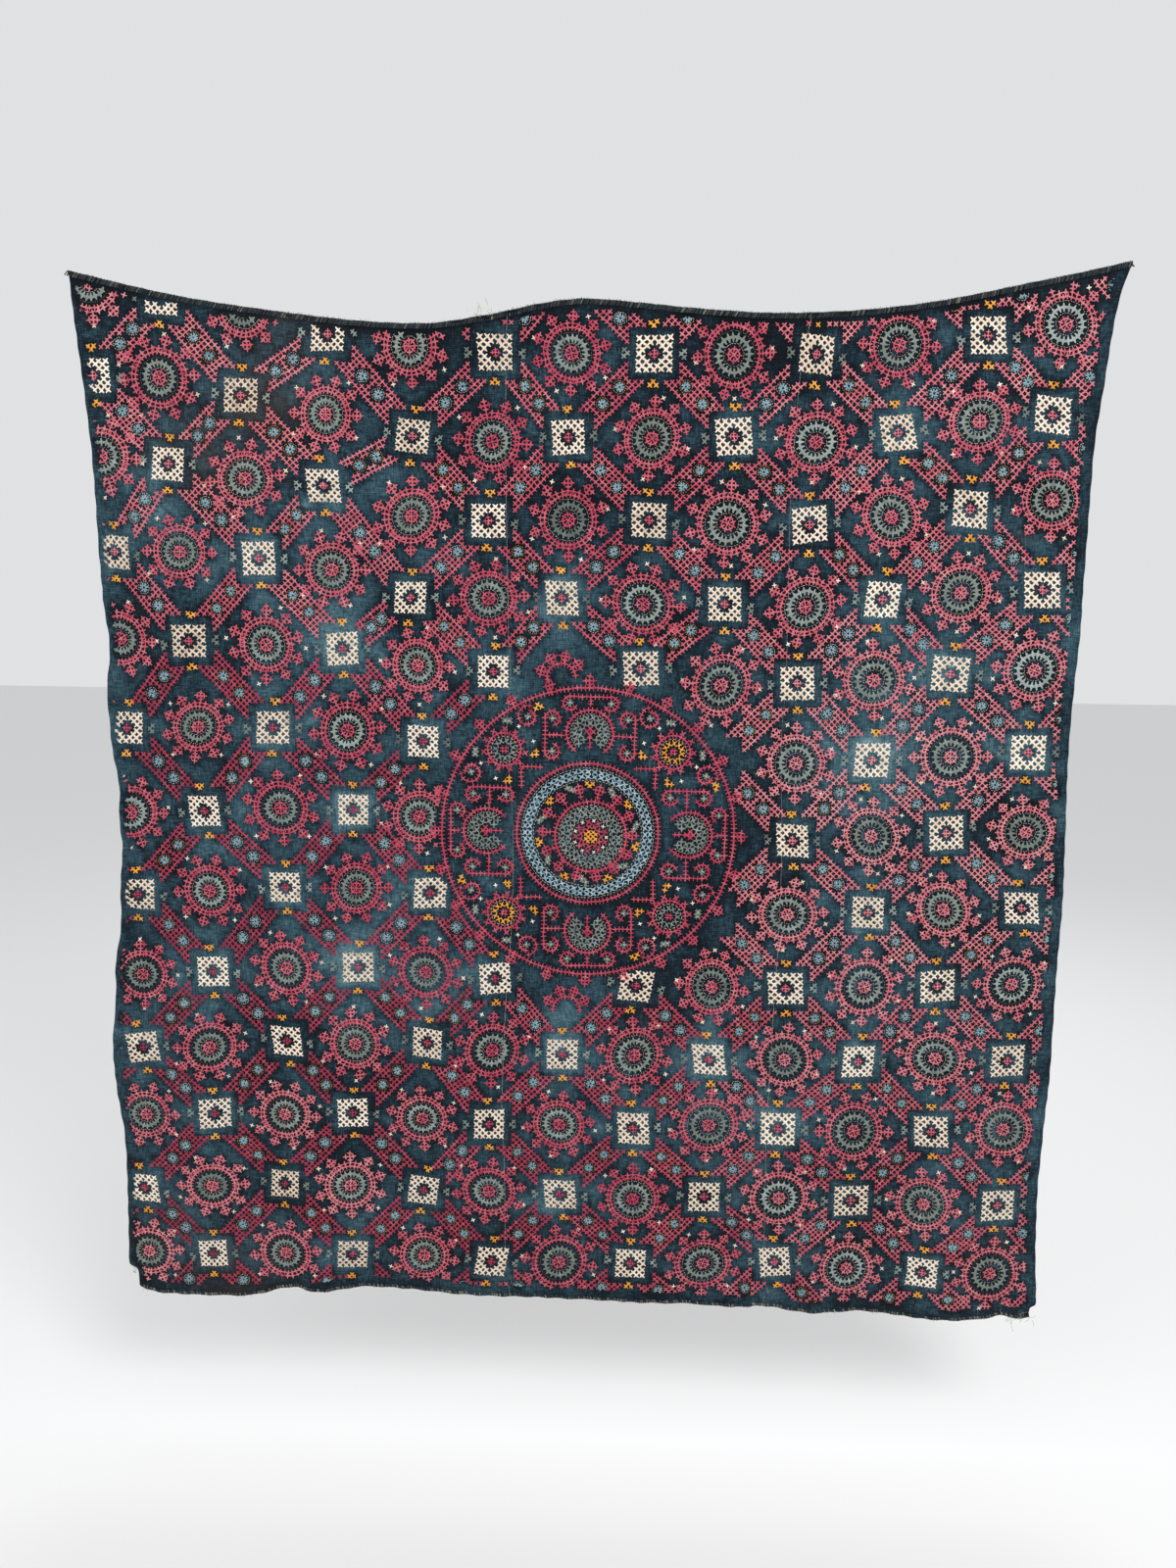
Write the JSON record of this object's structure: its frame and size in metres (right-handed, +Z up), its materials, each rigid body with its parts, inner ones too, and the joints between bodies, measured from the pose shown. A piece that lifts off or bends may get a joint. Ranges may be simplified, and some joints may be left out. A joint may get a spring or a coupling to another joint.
{
  "type": "embroidered panel",
  "caption": "Nearly square wall hanging of indigo cotton strips sewn edge to edge, covered with linked cross stitches in rosettes, bars and small squares round a central medallion.",
  "frame": {"origin": "the point of the top edge that is held, in the middle of the cloth's thickness", "axes": "+X to the viewer's right along the top edge, +Y away from the viewer, +Z up"},
  "size_m": [1.563, 0.0298, 1.6848],
  "materials": {
    "indigo_cotton": "hand-loomed plain weave cotton, worn indigo, matte, with rose, cream, sage, pale blue and gold silk stitches"
  },
  "bodies": {
    "root": {"left_strip": "indigo_cotton", "second_strip": "indigo_cotton", "third_strip": "indigo_cotton", "right_strip": "indigo_cotton"}
  },
  "joints": []
}
